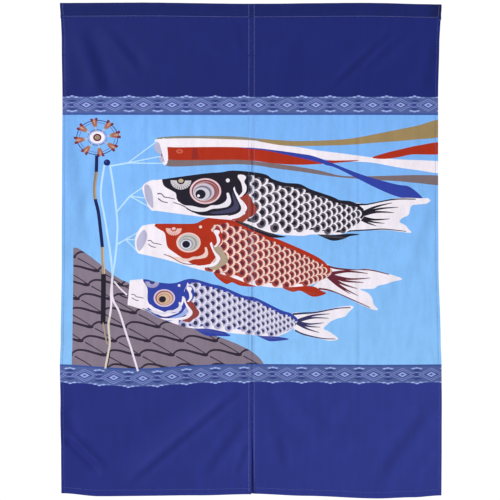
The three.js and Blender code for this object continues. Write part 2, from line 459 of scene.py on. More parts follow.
def carp_head(fish, body):
    """Cheek, gill cover, nostrils, jaw and mouth, and the flower on the brow."""
    eye = np.array(fish["eye"], float)
    size, drop = fish["size"], fish["drop"]

    def at(points, lower=0.0):
        return np.array(points, float) * size + eye + (0, lower)

    fill(fish["coat"], smooth(np.array(fish["patch"], float) + eye), within=body)
    if fish["cheek"]:
        cheek = np.array(fish["cheek"], float)
        stroke(PALE_BLUE, cheek * 1.14 + eye + (3, 3), 9, 7, within=body)
        stroke(BLUE, cheek + eye + (1, 4), 5, 4, within=body)
        stroke(WHITE, cheek * 0.86 + eye, 5.5, 4.5, within=body)
    else:
        area(fish["plate"], at(PLATE, drop), within=body)
    area(fish["light"], at(SWOOSH, drop), within=body, step=3)
    area(fish["gill"], at(GILL, drop), within=body, step=4)
    area(WHITE, at(CRESCENT, drop), within=body, step=3)
    disc(fish["coat"], at([(82, -14)])[0], 17 * size, 25 * size, within=body)
    area(WHITE, at(HOOK), within=body, step=3)
    for line in NOSTRILS:
        stroke(SLATE, at(line) + fish["nose"], 2.6 * size, 1.6, within=body, step=3)
    stroke(fish["dark"], at(JAW, drop), 1.6, 2.6 * size, within=body)
    if fish["mouth"]:
        area(SHADE, fish["mouth"])
    hub = np.array(fish["flower"], float)
    for k in range(13):
        a = math.radians(4 + 14.5 * k)
        way = np.array([math.cos(a), 0.86 * math.sin(a)]) * size
        stroke(fish["petal"], [hub + way * 9, hub + way * 23], 2.2 * size, 4.2 * size, within=body)
    disc(fish["petal_heart"], hub, 6 * size, 4.5 * size, within=body)
    disc(fish["light"], fish["spot"], 4.6 * size, within=body, count=10)


def carp_eye(fish):
    eye = np.array(fish["eye"], float)
    size = fish["size"]
    for colour, reach, shift in fish["iris"]:
        disc(colour, eye + np.array(shift) * size, 35.3 * size * reach, 28.9 * size * reach, count=36)
    pupil = eye + np.array(fish["pupil"]) * size
    disc(BLACK, pupil, 11.5 * size, 10.4 * size, count=20)
    if fish["glint"]:
        disc(WHITE, pupil + np.array([-4.5, 3.5]), 3.2, count=8)


def carp(fish):
    """One flying carp: tail and fins, body, scales, then the head."""
    back = smooth(fish["back"], closed=False)
    belly = smooth(fish["belly"], closed=False)
    body = np.concatenate([back, belly[::-1]])
    carp_tail(fish)
    carp_fins(fish)
    fill(WHITE, body)
    if fish["snout"]:
        area(WHITE, fish["snout"], step=4)
    carp_scales(fish, back, belly, body)
    carp_head(fish, body)
    carp_eye(fish)


# Each carp: its colours, its sizes, where its parts lie, and its outlines. patch and cheek start from
# the centre of the eye.
BLACK_CARP = {
    "coat": BLACK, "dark": BLACK, "light": srgb(238, 232, 242), "plate": SLATE, "gill": srgb(160, 62, 48),
    "scale": srgb(104, 96, 108), "petal": srgb(214, 208, 214), "petal_heart": TAN,
    "size": 1.0, "drop": 0.0, "nose": (0, 0), "stripe": 8.0, "pitch": (33.0, 20.0),
    "eye": (-103, 422), "pupil": (-11, 7), "glint": True, "spot": (-53, 398), "flower": (-158, 399),
    "patch": [(-97, -25), (-91, -10), (-67, 4), (-65, 15), (-57, 28), (-39, 42), (-17, 51), (10, 55),
              (46, 54), (68, 51), (80, 42), (81, 28), (67, -3), (72, -34), (77, -56), (-10, -56),
              (-96, -44)],
    "back": [(-218, 398), (-108, 383), (-70, 380), (-37, 376), (26, 383), (48, 395), (75, 403), (108, 406),
             (133, 418), (180, 434), (198, 442), (220, 444), (238, 451), (252, 462)],
    "belly": [(-220, 465), (-93, 482), (-26, 490), (41, 515), (108, 522), (135, 519), (176, 519),
              (205, 517), (234, 500), (254, 478)],
    "white_belly": ([-30, 40, 120, 190, 254], [2, 16, 12, 5, 1]),
    "tail": [(234, 450), (261, 450), (328, 438), (386, 438), (402, 438), (407, 443), (397, 450), (377, 452),
             (362, 455), (355, 475), (341, 482), (334, 491), (348, 498), (355, 507), (362, 515), (337, 513),
             (299, 509), (225, 512), (211, 513), (236, 482)],
    "tail_root": (236, 478),
    "tail_top": [(236, 452), (261, 451), (292, 445), (328, 440), (372, 440)],
    "tail_low": [(211, 512), (261, 509), (299, 507), (350, 512)],
    "rays": [((318, 448), 9), ((332, 458), 8), ((322, 470), 9), ((312, 484), 8), ((300, 494), 8),
             ((282, 500), 8)],
    "pectoral": [(-37, 487), (-10, 491), (10, 497), (48, 517), (77, 524), (48, 526), (23, 518), (-23, 497)],
    "anal": [(140, 515), (158, 517), (182, 520), (220, 517), (243, 519), (220, 523), (207, 529), (185, 533),
             (167, 528)],
    "cheek": None,
    "snout": [(-216, 397), (-232, 401), (-243, 410), (-243, 424), (-231, 456), (-218, 466), (-205, 440),
              (-206, 410)],
    "mouth": [(-240, 410), (-230, 409), (-222, 426), (-220, 459), (-229, 453), (-237, 437)],
    "iris": [(srgb(232, 196, 204), 1.0, (0, 0)), (srgb(110, 52, 60), 0.87, (0, 0)),
             (srgb(196, 140, 144), 0.8, (0, 1)), (srgb(150, 88, 92), 0.72, (2, 1)),
             (srgb(204, 196, 210), 0.68, (-4, 2)), (srgb(130, 120, 140), 0.57, (-6, 4)),
             (srgb(206, 202, 216), 0.5, (-8, 6))],
}
RED_CARP = {
    "coat": RED, "dark": srgb(104, 34, 52), "light": srgb(240, 208, 200), "plate": RED,
    "gill": srgb(176, 158, 136), "scale": srgb(168, 74, 62), "petal": PINK, "petal_heart": PINK,
    "size": 0.77, "drop": 7.0, "nose": (-8, -9), "stripe": 9.0, "pitch": (30.0, 18.0),
    "eye": (-141, 537), "pupil": (-7, 5), "glint": False, "spot": (-114, 502), "flower": (-174, 506),
    "patch": [(-74, -42), (-66, -30), (-53, -21), (-48, 7), (-38, 18), (-5, 40), (10, 48), (39, 53),
              (62, 31), (60, 16), (63, 3), (68, -8), (65, -19), (52, -25), (53, -38), (72, -43), (62, -68),
              (-20, -64)],
    "back": [(-243, 499), (-214, 495), (-142, 495), (-122, 493), (-104, 484), (-86, 482), (-35, 489),
             (15, 508), (46, 525), (73, 535), (149, 570), (180, 598)],
    "belly": [(-254, 561), (-189, 576), (-122, 596), (-59, 610), (1, 632), (26, 635), (59, 638), (120, 634),
              (140, 629), (173, 612), (181, 602)],
    "white_belly": ([-80, 0, 100, 181], [2, 12, 6, 1]),
    "tail": [(158, 582), (187, 592), (238, 597), (265, 596), (323, 611), (340, 619), (319, 624), (301, 630),
             (285, 633), (274, 640), (244, 641), (261, 649), (271, 661), (274, 674), (284, 687), (263, 683),
             (200, 654), (176, 646), (153, 643), (138, 636), (164, 610)],
    "tail_root": (166, 608),
    "tail_top": [(166, 588), (187, 594), (214, 597), (265, 598), (310, 608)],
    "tail_low": [(150, 640), (176, 644), (218, 661), (266, 682)],
    "rays": [((262, 606), 9), ((268, 616), 8), ((252, 626), 9), ((238, 640), 8), ((240, 656), 8),
             ((222, 652), 8)],
    "pectoral": [(-84, 603), (-68, 607), (-46, 611), (-8, 627), (10, 635), (-23, 634), (-44, 626),
                 (-57, 630), (-79, 614)],
    "anal": [(68, 636), (103, 634), (138, 635), (155, 644), (167, 651), (138, 658), (110, 645), (91, 647)],
    "cheek": None,
    "snout": [(-240, 499), (-250, 506), (-259, 522), (-261, 538), (-258, 554), (-250, 562), (-232, 556),
              (-228, 520)],
    "mouth": [(-240, 508), (-234, 517), (-235, 530), (-243, 548), (-252, 556), (-257, 545), (-256, 530),
              (-248, 515)],
    "iris": [(srgb(242, 204, 200), 1.0, (0, 0)), (srgb(196, 192, 186), 0.86, (0, 0)),
             (srgb(150, 150, 146), 0.74, (-2, 2)), (srgb(196, 194, 192), 0.68, (-4, 3)),
             (srgb(150, 150, 160), 0.54, (-6, 4)), (srgb(222, 224, 244), 0.46, (-7, 5))],
}
BLUE_CARP = {
    "coat": BLUE, "dark": srgb(50, 50, 96), "light": srgb(226, 222, 240), "gill": srgb(146, 64, 62),
    "scale": srgb(176, 174, 208), "petal": LAVENDER * 0.8, "petal_heart": SLATE,
    "size": 0.68, "drop": 6.0, "nose": (0, -12), "stripe": 7.0, "pitch": (27.5, 16.5),
    "eye": (-195, 661), "pupil": (-6, 4), "glint": False, "spot": (-162, 633), "flower": (-222, 625),
    "patch": [(-46, -44), (-38, -22), (-37, 6), (-29, 17), (-14, 25), (12, 34), (35, 29), (51, 16),
              (51, -2), (44, -15), (51, -33), (46, -48), (0, -52)],
    "back": [(-272, 621), (-238, 619), (-218, 624), (-191, 628), (-169, 627), (-135, 618), (-88, 630),
             (-66, 635), (-19, 655), (10, 661), (64, 687), (88, 695), (102, 706)],
    "belly": [(-277, 676), (-234, 690), (-214, 702), (-155, 724), (-124, 729), (-93, 730), (-41, 740),
              (46, 747), (68, 743), (86, 734), (97, 724), (103, 712)],
    "white_belly": ([-120, -60, 60, 103], [4, 12, 5, 1]),
    "tail": [(91, 695), (115, 693), (144, 691), (207, 679), (229, 680), (218, 692), (209, 702), (191, 707),
             (176, 714), (169, 721), (161, 729), (176, 737), (194, 752), (176, 756), (158, 753), (117, 744),
             (97, 734), (93, 714)],
    "tail_root": (96, 714),
    "tail_top": [(92, 697), (115, 695), (144, 693), (191, 684), (222, 682)],
    "tail_low": [(97, 733), (117, 742), (158, 751), (188, 752)],
    "rays": [((176, 696), 8), ((174, 706), 7), ((162, 716), 7), ((154, 726), 7), ((152, 738), 7)],
    "pectoral": [(-134, 724), (-113, 724), (-85, 726), (-47, 745), (-75, 746), (-103, 744)],
    "anal": [(7, 742), (25, 746), (53, 747), (84, 753), (46, 758), (30, 754)],
    "mouth": None, "snout": None,
    "cheek": [(-38, 19), (-21, 32), (-1, 40), (21, 35), (38, 26), (47, 11), (49, -4)],
    "iris": [(srgb(222, 200, 222), 1.0, (0, 0)), (srgb(140, 82, 84), 0.84, (0, 0)),
             (srgb(222, 186, 160), 0.74, (1, 1)), (srgb(190, 146, 128), 0.6, (-1, 2)),
             (srgb(216, 180, 150), 0.5, (-1, 2))],
}


def draw_print():
    """The whole picture, from what lies behind to what lies in front."""
    border(UPPER_BORDER, False, 0.0)
    roof()
    border(LOW_BORDER + 2, True, 1.0)
    arrow_wheel()
    pole_and_ropes()
    ribbons()
    bridle((-277, 359), [(-211, 310), (-203, 344), (-201, 360)], (-318, 366))
    bridle((-272, 433), [(-238, 410), (-222, 440), (-224, 460)], (-303, 470))
    bridle((-282, 530), [(-240, 506), (-246, 531), (-254, 558)], (-302, 542))
    stroke(PALE_ROPE, [(-307, 624), (-296, 637), (-278, 654)], 3.6)
    stroke(ROOF_LINE, [(-299, 628), (-287, 634), (-273, 633)], 3.4)
    stroke(ROOF_LINE, [(-300, 650), (-288, 657), (-276, 661)], 3.0)
    for fish in (BLUE_CARP, RED_CARP, BLACK_CARP):
        carp(fish)


def ground_colour(u, v):
    """The plain areas, which the drawing lies on: navy, sky, navy."""
    # The sky is paler lower down, a painted lighting gradient, and darker beside the left edge
    mix = np.clip((v - 250) / 560, 0, 1)[:, None]
    colour = SKY_TOP * (1 - mix) + SKY_LOW * mix
    across = np.clip((u + HALF_WIDTH) / (2 * HALF_WIDTH), 0, 1)[:, None]
    colour = colour * (1 - 0.1 * np.clip((-330 - u) / 95, 0, 1))[:, None]
    # Painted light: the top navy grows lighter to the right, a painted lighting gradient
    colour = np.where((v < UPPER_BORDER + 1)[:, None], TOP_NAVY * (0.94 + 0.12 * across), colour)
    # Painted shade: the sleeve takes a darker copy of the top navy
    colour = np.where((v < STITCH + 1)[:, None], SHADED_SLEEVE_NAVY * (0.94 + 0.12 * across), colour)
    # The sleeve's right end is in shade
    corner = 1 - 0.4 * np.clip((u - 392) / 24, 0, 1) * (v < STITCH + 1)
    colour = colour * corner[:, None]
    # Painted light: the lower navy grows lighter to the right, a painted lighting gradient
    low = LOW_NAVY_LEFT * (1 - across) + LOW_NAVY_RIGHT * across
    return np.where((v > LOW_BORDER + 20 + border_sag(u))[:, None], low, colour)


# ---------------------------------------------------------------- the shape of the hanging cloth
# Soft creases, each from its upper end to its lower end, how wide it is and how far it steps back
CREASES = (
    ((-384, 36), (-322, 214), 15, 3.0), ((-345, 26), (-240, 160), 11, 2.0),
    ((-425, 60), (-418, 200), 14, -1.2), ((352, 30), (175, 196), 7.5, 1.8),
    ((372, 44), (255, 150), 10, 1.5), ((420, 60), (398, 200), 14, 2.0), ((-30, 40), (-22, 110), 7, 0.8),
    ((-170, 60), (-60, 120), 16, -0.9), ((110, 60), (70, 190), 24, 0.9),
    ((-420, 962), (-330, 1046), 8, -5.0), ((-422, 900), (-405, 990), 14, 2.6),
    ((-18, 862), (-284, 1084), 8.5, 2.2), ((-40, 850), (-310, 1060), 30, -2.6),
    ((-10, 925), (-112, 1064), 12, 2.1), ((-8, 985), (-34, 1060), 7, 1.2),
    ((44, 868), (158, 985), 20, -3.9), ((58, 960), (74, 1040), 11, 1.9),
    ((215, 880), (150, 1010), 16, -1.0), ((404, 890), (276, 1072), 17, 3.0),
    ((425, 985), (372, 1060), 10, -0.8), ((-236, 120), (-236, 980), 4.5, 0.5),
    ((238, 130), (238, 960), 4.5, 0.5), ((-425, 553), (0, 556), 4.5, 0.4),
    ((425, 550), (0, 556), 4.5, -0.4), ((-408, 270), (-372, 560), 14, 1.5),
    ((-330, 330), (-400, 500), 14, 0.9), ((418, 430), (352, 640), 16, 1.2),
    ((-120, 640), (-60, 800), 22, 0.9), ((330, 600), (250, 780), 24, 1.2),
)


def lattice(count_u, count_v):
    return rng.normal(0, 1, (count_v, count_u))


ROLLS = {side: lattice(7, 12) for side in SIDES}
SMALL_ROLLS = {side: lattice(15, 34) for side in SIDES}
PUCKERS = rng.uniform(0, 2 * math.pi, 8)


def rolling(grid, s, t):
    """A smooth random field on a coarse grid, by cubic B-splines."""
    rows, cols = grid.shape
    x = np.clip(s, 0, 1) * (cols - 4) + 1
    y = np.clip(t, 0, 1) * (rows - 4) + 1
    i, j = x.astype(int), y.astype(int)
    fx, fy = x - i, y - j

    def weights(f):
        return ((1 - f) ** 3 / 6, (3 * f ** 3 - 6 * f ** 2 + 4) / 6,
                (-3 * f ** 3 + 3 * f ** 2 + 3 * f + 1) / 6, f ** 3 / 6)

    total = 0
    for a, wy in enumerate(weights(fy)):
        for b, wx in enumerate(weights(fx)):
            total = total + wx * wy * grid[np.clip(j + a - 1, 0, rows - 1), np.clip(i + b - 1, 0, cols - 1)]
    return total


def crease_height(u, v):
    total = np.zeros_like(u)
    for (u0, v0), (u1, v1), width, height in CREASES:
        du, dv = u1 - u0, v1 - v0
        length = math.hypot(du, dv)
        along = ((u - u0) * du + (v - v0) * dv) / length ** 2
        off = ((u - u0) * dv - (v - v0) * du) / length
        fade = np.clip(along * 5, 0, 1) * np.clip((1 - along) * 5, 0, 1)
        total += height * fade * off / width * np.exp(0.5 - 0.5 * (off / width) ** 2)
    return total


def tucked(v):
    """How much of the step between the centre edges there is: none at the join, all of it lower down."""
    t = np.clip((v - 290) / 130, 0, 1)
    return t * t * (3 - 2 * t)


def relief(u, v, side):
    """How far the cloth stands back from its plane."""
    name = "left" if side < 0 else "right"
    inner = np.abs(u) / HALF_WIDTH
    free = np.clip((v - STITCH) / 90, 0, 1)
    free = free * free * (3 - 2 * free)
    loose = np.clip((v - 150) / 700, 0, 1)
    swing = (1.6 + 2.6 * loose) * rolling(ROLLS[name], inner, v / HEIGHT)
    small = 0.75 * rolling(SMALL_ROLLS[name], inner, v / HEIGHT)
    joined = np.exp(-((u / 60) ** 2)) * np.clip((JOINED + 120 - v) / 120, 0, 1)
    broad = free * (swing * (1 - joined) + small + crease_height(u, v))
    # Hems: the seam pulls the cloth in, and it puckers along the thread
    outer = HALF_WIDTH - np.abs(u)
    inner_edge = np.abs(u)
    low = HEIGHT - v
    pucker = np.zeros_like(u)
    for k, (distance, seam, along) in enumerate(((outer, SIDE_SEAM, v), (inner_edge, SIDE_SEAM, v),
                                                 (low, BOTTOM_SEAM, u), (np.abs(v - STITCH), 0, u))):
        near = np.exp(-((distance - seam) / 1.6) ** 2)
        ripple = np.sin(along / 1.9 + 1.3 * np.sin(along / 17 + PUCKERS[k]))
        ripple = ripple * np.sin(along / 23 + PUCKERS[k + 4])
        pucker += 0.3 * near + 0.22 * ripple * np.exp(-((distance - seam) / 6) ** 2)
    # Below the join the right panel's edge lies just behind the left one's, more so towards the foot
    behind = tucked(v)
    foot = np.clip((v - 900) / 120, 0, 1)
    if side > 0:
        curl = (1.9 * np.exp(-inner_edge / 22) + 5.0 * foot * np.exp(-inner_edge / 2.8)) * behind
    else:
        curl = -(0.5 * foot * np.exp(-inner_edge / 12)) * behind
    return broad + np.where(v > STITCH - 4, pucker, 0) + curl


# At each height, how far the outer edges stray sideways, and at each place across, how far the foot
# and the top sag
EDGE_V = [0, 90, 220, 575, 755, 811, 900, 1000, 1100]
LEFT_IN = [-2.7, 0.5, 2.2, 0.6, -2.0, -4.0, -2.4, -1.1, -1.0]
RIGHT_OUT = [-0.4, -4.5, -7.6, -7.4, -2.0, 0.0, 0.3, 0.0, -0.3]
LOW_U = [-425, -340, -120, 0, 120, 285, 360, 425]
LOW_DROP = [-1.5, 5.0, 2.5, -0.5, 3.5, 9.0, 6.5, 2.5]
TOP_U = [-425, -250, 0, 250, 425]
TOP_DROP = [0.8, 0.0, 2.6, 0.6, 4.0]


def rounded(x, xs, ys):
    """Interpolation with a smooth start and end to each step."""
    i = np.clip(np.searchsorted(xs, x) - 1, 0, len(xs) - 2)
    xs, ys = np.array(xs, float), np.array(ys, float)
    t = np.clip((x - xs[i]) / (xs[i + 1] - xs[i]), 0, 1)
    t = t * t * (3 - 2 * t)
    return ys[i] * (1 - t) + ys[i + 1] * t


# The sleeve, seen from its end: a wall leans up from the stitching to the round of the loop on each side
WALL = math.sqrt((STITCH - TOP) ** 2 - SLEEVE_RADIUS ** 2)
LEAN = math.asin(SLEEVE_RADIUS / (STITCH - TOP))
SWEEP = math.pi + 2 * LEAN
SLACK = 0.42
SLACK_FROM = -34.0
SEAM_LIFT = 0.32
ALLOWANCE_BEHIND = 0.9


def sleeve_slack(u, v):
    """Wrinkles of the loose sleeve: most near the top edge, none at either end of the loop."""
    share = np.clip((v - SLACK_FROM) / (STITCH - SLACK_FROM), 0, 1)
    gathers = (np.sin(u / 19 + 1.9 * np.sin(u / 61)) + 0.7 * np.sin(u / 8.3 + v / 9 + 2.2 * np.sin(u / 37))
               + 0.5 * np.sin(u / 47 - v / 14))
    return (gathers - 1.2) * np.sin(math.pi * share) ** 2


def sleeve_section(up):
    """Depth and height of the sleeve that far up the cloth from its stitching."""
    down = np.maximum(up - WALL - SLEEVE_RADIUS * SWEEP, 0)
    angle = math.pi + LEAN - np.clip((up - WALL) / SLEEVE_RADIUS, 0, SWEEP)
    foot = TOP - STITCH
    y_front, z_front = -up * math.sin(LEAN), foot + up * math.cos(LEAN)
    y_loop, z_loop = SLEEVE_RADIUS * np.cos(angle), SLEEVE_RADIUS * np.sin(angle)
    y_back = (WALL - np.minimum(down, WALL)) * math.sin(LEAN)
    z_back = foot + (WALL - down) * math.cos(LEAN)
    y = np.where(up < WALL, y_front, np.where(down > 0, y_back, y_loop))
    z = np.where(up < WALL, z_front, np.where(down > 0, z_back, z_loop))
    return np.where(down >= WALL, ALLOWANCE_BEHIND, y), z


def place(u, v, side):
    """Where a point of the cloth's middle layer hangs."""
    u, v = np.asarray(u, float), np.asarray(v, float)
    up = np.maximum(STITCH - v, 0)
    y, z = sleeve_section(up)
    face = np.where(up < WALL + SLEEVE_RADIUS * SWEEP / 2, -1.0, 1.0)
    lift = SEAM_LIFT * np.exp(-(((v - STITCH) / 12) ** 2))
    below = v >= STITCH
    y = np.where(below, -lift, y + face * lift * (v > STITCH - 8))
    z = np.where(below, TOP - v, z)
    y = y + relief(u, v, side) * np.clip((v - STITCH + 30) / 30, 0, 1)
    y = y + face * SLACK * sleeve_slack(u, v)
    # Edges wave in and out, the bottom edge sags, and so does the top between its ends
    deep = np.clip(v / HEIGHT, 0, 1)
    reach = np.clip(np.abs(u) / HALF_WIDTH, 0, 1)
    sideways = rounded(v, EDGE_V, LEFT_IN if side < 0 else RIGHT_OUT) * reach ** 3
    drop = rounded(u, LOW_U, LOW_DROP) * deep ** 6 + rounded(u, TOP_U, TOP_DROP) * (1 - deep) ** 8
    return np.stack([u + sideways, y, z - drop], -1)


def on_own_side(points, side):
    """Keeps a panel on its own side of the middle. Every fold turns about X, so the panels never cross."""
    points[..., 0] = side * np.maximum(side * points[..., 0], 0.004)
    return points


def outward(u, v, side):
    """The cloth's normal on its printed face."""
    step = 0.6
    across = place(u + step, v, side) - place(u - step, v, side)
    below = place(u, v + step, side) - place(u, v - step, side)
    n = np.cross(below, across)
    n /= np.linalg.norm(n, axis=-1, keepdims=True)
    return n


# ---------------------------------------------------------------- the sheet, cut along the print
def within_outline(points, outline):
    """Which points lie inside a closed outline, by counting crossings."""
    low, high = outline.min(0), outline.max(0)
    near = np.nonzero(np.all((points >= low) & (points <= high), 1))[0]
    inside = np.zeros(len(points), bool)
    if len(near) == 0:
        return inside
    x, y = points[near, 0], points[near, 1]
    count = np.zeros(len(near), bool)
    ax, ay = outline[:, 0], outline[:, 1]
    bx, by = np.roll(ax, -1), np.roll(ay, -1)
    for x0, y0, x1, y1 in zip(ax, ay, bx, by):
        if y0 != y1:
            count ^= ((y0 > y) != (y1 > y)) & (x < (x1 - x0) * (y - y0) / (y1 - y0) + x0)
    inside[near] = count
    return inside


def spread(low, high, step):
    return np.linspace(low, high, max(2, int(round((high - low) / step)) + 1))


def sheet_points():
    """Inner points of the sheet: an even spacing, closer at the sleeve and along the hems."""
    def grid(us, vs):
        u, v = np.meshgrid(us, vs)
        return np.stack([u.ravel(), v.ravel()], 1)

    coarse, fine = 5.5, 2.4
    main = grid(spread(-HALF_WIDTH, HALF_WIDTH, coarse), spread(STITCH + 8, HEIGHT, coarse))
    main += rng.uniform(-0.8, 0.8, main.shape)
    keep = (np.abs(np.abs(main[:, 0]) - HALF_WIDTH / 2) < HALF_WIDTH / 2 - 13) & (main[:, 1] < HEIGHT - 20)
    sleeve = grid(spread(-HALF_WIDTH, HALF_WIDTH, 3.4), spread(CUTS["rod_sleeve"][0], STITCH + 7, 1.8))
    parts = [main[keep], sleeve]
    for u0, u1 in ((-HALF_WIDTH, 12 - HALF_WIDTH), (-12, 0), (0, 12), (HALF_WIDTH - 12, HALF_WIDTH)):
        parts.append(grid(spread(u0, u1, fine), spread(STITCH + 8, HEIGHT, fine)))
    parts.append(grid(spread(-HALF_WIDTH, HALF_WIDTH, fine), spread(HEIGHT - 18, HEIGHT, fine)))
    points = np.concatenate(parts)
    return points[np.abs(points[:, 0]) <= HALF_WIDTH]


def cut_sheet():
    """Triangles of the whole sheet that follow every line of the print, with a colour for each."""
    low_v = CUTS["rod_sleeve"][0]
    points, edges = [sheet_points()], []
    count = len(points[0])

    def add(outline, closed=True):
        nonlocal count
        n = len(outline)
        last = n if closed else n - 1
        edges.extend((count + i, count + (i + 1) % n) for i in range(last))
        points.append(np.asarray(outline, float))
        count += n

    W, H = HALF_WIDTH, HEIGHT
    add([(-W, low_v), (W, low_v), (W, H), (-W, H)])
    add([(0, low_v), (0, H)], closed=False)
    across = spread(-W, W, 2.4)
    for v in [high for low, high in CUTS.values() if high < H] + [STITCH + 1]:
        add(np.stack([across, np.full(len(across), v)], 1), closed=False)
    for _, outline, _ in artwork:
        clipped = outline.copy()
        clipped[:, 0] = np.clip(clipped[:, 0], -W - 6, W + 6)
        add(clipped)
    flat = np.concatenate(points)
    out = delaunay_2d_cdt([tuple(p) for p in flat], edges, [], 0, 1e-4, False)
    verts = np.array([tuple(p) for p in out[0]])
    tris = np.array([f for f in out[2] if len(f) == 3])
    middle = verts[tris].mean(1)
    keep = (np.abs(middle[:, 0]) < W) & (middle[:, 1] > low_v) & (middle[:, 1] < H)
    a, b, c = (verts[tris[:, i]] for i in range(3))
    cross = (b[:, 0] - a[:, 0]) * (c[:, 1] - a[:, 1]) - (b[:, 1] - a[:, 1]) * (c[:, 0] - a[:, 0])
    keep &= np.abs(cross) > 1e-7
    tris, middle = tris[keep], middle[keep]
    colours = ground_colour(middle[:, 0], middle[:, 1])
    for colour, outline, within in artwork:
        mask = within_outline(middle, outline)
        if within is not None and mask.any():
            mask[mask] = within_outline(middle[mask], within)
        colours[mask] = colour
    return verts, tris, middle, colours


# ---------------------------------------------------------------- materials
def material(name):
    made = bpy.data.materials.new(name)
    made.use_nodes = True
    return made, made.node_tree, made.node_tree.nodes["Principled BSDF"]


def link(tree, a, b):
    tree.links.new(a, b)


def math_node(tree, operation, *values):
    n = tree.nodes.new("ShaderNodeMath")
    n.operation = operation
    for i, value in enumerate(values):
        if isinstance(value, (int, float)):
            n.inputs[i].default_value = value
        else:
            link(tree, value, n.inputs[i])
    return n.outputs[0]


def noise(tree, vector, scale, detail, stretch=None):
    if stretch:
        m = tree.nodes.new("ShaderNodeMapping")
        m.inputs["Scale"].default_value = stretch
        link(tree, vector, m.inputs["Vector"])
        vector = m.outputs[0]
    n = tree.nodes.new("ShaderNodeTexNoise")
    n.inputs["Scale"].default_value = scale
    n.inputs["Detail"].default_value = detail
    link(tree, vector, n.inputs["Vector"])
    return n.outputs["Fac"]


def raise_surface(tree, shader, height, strength, distance):
    bump = tree.nodes.new("ShaderNodeBump")
    bump.inputs["Strength"].default_value = strength
    bump.inputs["Distance"].default_value = distance
    link(tree, height, bump.inputs["Height"])
    link(tree, bump.outputs[0], shader.inputs["Normal"])


WEAVE_PITCH = 0.00055


def woven_print():
    """Printed polyester: the print's own colour, a plain weave, slubs and a faint unevenness of ink."""
    made, tree, shader = material("printed_polyester")
    uv = tree.nodes.new("ShaderNodeUVMap")
    uv.uv_map = "cloth"
    ink = tree.nodes.new("ShaderNodeAttribute")
    ink.attribute_name = "print"
    split = tree.nodes.new("ShaderNodeSeparateXYZ")
    link(tree, uv.outputs[0], split.inputs[0])
    turns = 2 * math.pi / WEAVE_PITCH
    warp = math_node(tree, "SINE", math_node(tree, "MULTIPLY", split.outputs[0], turns))
    weft = math_node(tree, "SINE", math_node(tree, "MULTIPLY", split.outputs[1], turns))
    weave = math_node(tree, "MULTIPLY", warp, weft)
    slub_across = noise(tree, uv.outputs[0], 900, 2, (0.12, 1.0, 1.0))
    slub_down = noise(tree, uv.outputs[0], 900, 2, (1.0, 0.1, 1.0))
    slubs = math_node(tree, "ADD", slub_across, slub_down)
    patches = noise(tree, uv.outputs[0], 22, 3)
    tone = math_node(tree, "MULTIPLY_ADD", slubs, 0.16, 0.84)
    tone = math_node(tree, "ADD", tone, math_node(tree, "MULTIPLY", weave, 0.02))
    tone = math_node(tree, "ADD", tone, math_node(tree, "MULTIPLY_ADD", patches, 0.14, -0.07))
    streaks = noise(tree, uv.outputs[0], 70, 2, (1.0, 0.22, 1.0))
    tone = math_node(tree, "ADD", tone, math_node(tree, "MULTIPLY_ADD", streaks, 0.26, -0.13))
    mix = tree.nodes.new("ShaderNodeVectorMath")
    mix.operation = "SCALE"
    link(tree, ink.outputs["Color"], mix.inputs[0])
    link(tree, tone, mix.inputs["Scale"])
    link(tree, mix.outputs[0], shader.inputs["Base Color"])
    height = math_node(tree, "MULTIPLY_ADD", slubs, 0.6, math_node(tree, "MULTIPLY", weave, 0.5))
    raise_surface(tree, shader, height, 0.22, 0.00025)
    rough = math_node(tree, "MULTIPLY_ADD", slubs, 0.08, 0.52)
    link(tree, rough, shader.inputs["Roughness"])
    shader.inputs["Specular IOR Level"].default_value = 0.16
    shader.inputs["Sheen Weight"].default_value = 0.02
    shader.inputs["Sheen Roughness"].default_value = 0.4
    return made


def thread_material(name, shaded_hollow, lit_crown):
    """Spun polyester thread: fine twist lines between those two colours, painted shade in the dips of the
    twist and painted highlight on its ridges, and a soft shine.
    """
    made, tree, shader = material(name)
    coord = tree.nodes.new("ShaderNodeTexCoord")
    wave = tree.nodes.new("ShaderNodeTexWave")
    wave.bands_direction = "DIAGONAL"
    wave.inputs["Scale"].default_value = 900
    wave.inputs["Distortion"].default_value = 1.5
    link(tree, coord.outputs["Object"], wave.inputs["Vector"])
    # Painted shade and highlight: the colour follows the twist's relief, darker in its dips and lighter on
    # its ridges
    ramp = tree.nodes.new("ShaderNodeValToRGB")
    ramp.color_ramp.elements[0].color = (*shaded_hollow, 1)
    ramp.color_ramp.elements[1].color = (*lit_crown, 1)
    link(tree, wave.outputs["Fac"], ramp.inputs[0])
    link(tree, ramp.outputs[0], shader.inputs["Base Color"])
    raise_surface(tree, shader, wave.outputs["Fac"], 0.4, 0.0001)
    shader.inputs["Roughness"].default_value = 0.45
    return made


# ---------------------------------------------------------------- mesh pieces
def new_piece(name, verts, faces, made, colours=None, uvs=None, normals=None):
    mesh = bpy.data.meshes.new(name)
    mesh.from_pydata((verts / 1000).tolist(), [], [list(map(int, f)) for f in faces])
    mesh.materials.append(made)
    corners = np.zeros(len(mesh.loops), int)
    mesh.loops.foreach_get("vertex_index", corners)
    if colours is not None:
        counts = np.array([len(f) for f in faces])
        per_corner = np.repeat(colours, counts, axis=0)
        layer = mesh.attributes.new("print", "FLOAT_COLOR", "CORNER")
        opaque = np.c_[per_corner, np.ones(len(per_corner))]
        layer.data.foreach_set("color", opaque.astype(np.float32).ravel())
    if uvs is not None:
        layer = mesh.uv_layers.new(name="cloth")
        layer.data.foreach_set("uv", (uvs[corners] / 1000).astype(np.float32).ravel())
    mesh.polygons.foreach_set("use_smooth", np.ones(len(mesh.polygons), bool))
    if normals is not None:
        mesh.normals_split_custom_set_from_vertices(normals.tolist())
    piece = bpy.data.objects.new(name, mesh)
    bpy.context.scene.collection.objects.link(piece)
    return piece


def show_through(colours):
    """The back of the cloth, where the ink shows through paler."""
    return colours * 0.62 + srgb(176, 180, 206) * 0.38


